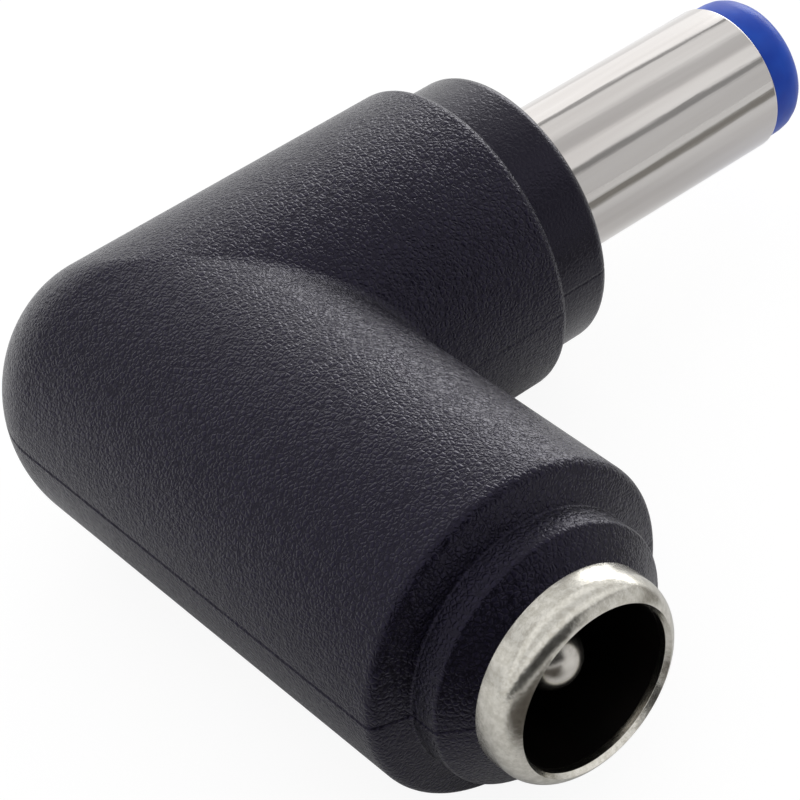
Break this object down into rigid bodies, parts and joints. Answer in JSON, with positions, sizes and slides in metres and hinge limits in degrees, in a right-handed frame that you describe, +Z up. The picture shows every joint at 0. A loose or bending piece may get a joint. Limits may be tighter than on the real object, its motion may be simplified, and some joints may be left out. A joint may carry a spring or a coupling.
{
  "type": "right-angle dc barrel plug adapter",
  "caption": "Right-angle moulded adapter with a nickel barrel plug with a blue tip on one arm and a barrel jack with a centre pin on the other.",
  "frame": {"origin": "on the plug's axis, in the front face of the plug's collar, where the plug seats against its socket", "axes": "+X along the plug, towards its tip; -Y out of the jack's mouth; +Z up, with both arms level"},
  "size_m": [0.0313, 0.0247, 0.0114],
  "materials": {
    "overmould": "finely grained flexible vinyl, matt",
    "inner_mould": "plain moulded polyethylene",
    "nickel": "bright nickel plate on turned brass",
    "blue_tip": "smooth moulded",
    "white_insulator": "moulded nylon",
    "brass": "plain stamped strip",
    "jack_housing": "moulded, black",
    "copper": "stranded wire, drawn as one round core",
    "red_insulation": "extruded vinyl",
    "black_insulation": "extruded vinyl",
    "solder": "dull solder"
  },
  "bodies": {
    "root": {"overmould": "overmould", "inner_mould": "inner_mould", "plug_barrel": "nickel", "plug_tip_insulator": "blue_tip", "plug_centre_contact": "nickel", "plug_rear_insulator": "white_insulator", "plug_sleeve_lug": "brass", "jack_shell": "nickel", "jack_housing": "jack_housing", "jack_centre_pin": "nickel", "jack_pin_tag": "brass", "jack_contact_leaf": "brass", "live_wire_core": "copper", "live_wire_insulation": "red_insulation", "return_wire_core": "copper", "return_wire_insulation": "black_insulation", "plug_contact_solder": "solder", "plug_lug_solder": "solder", "jack_tag_solder": "solder", "jack_leaf_solder": "solder"}
  },
  "joints": []
}
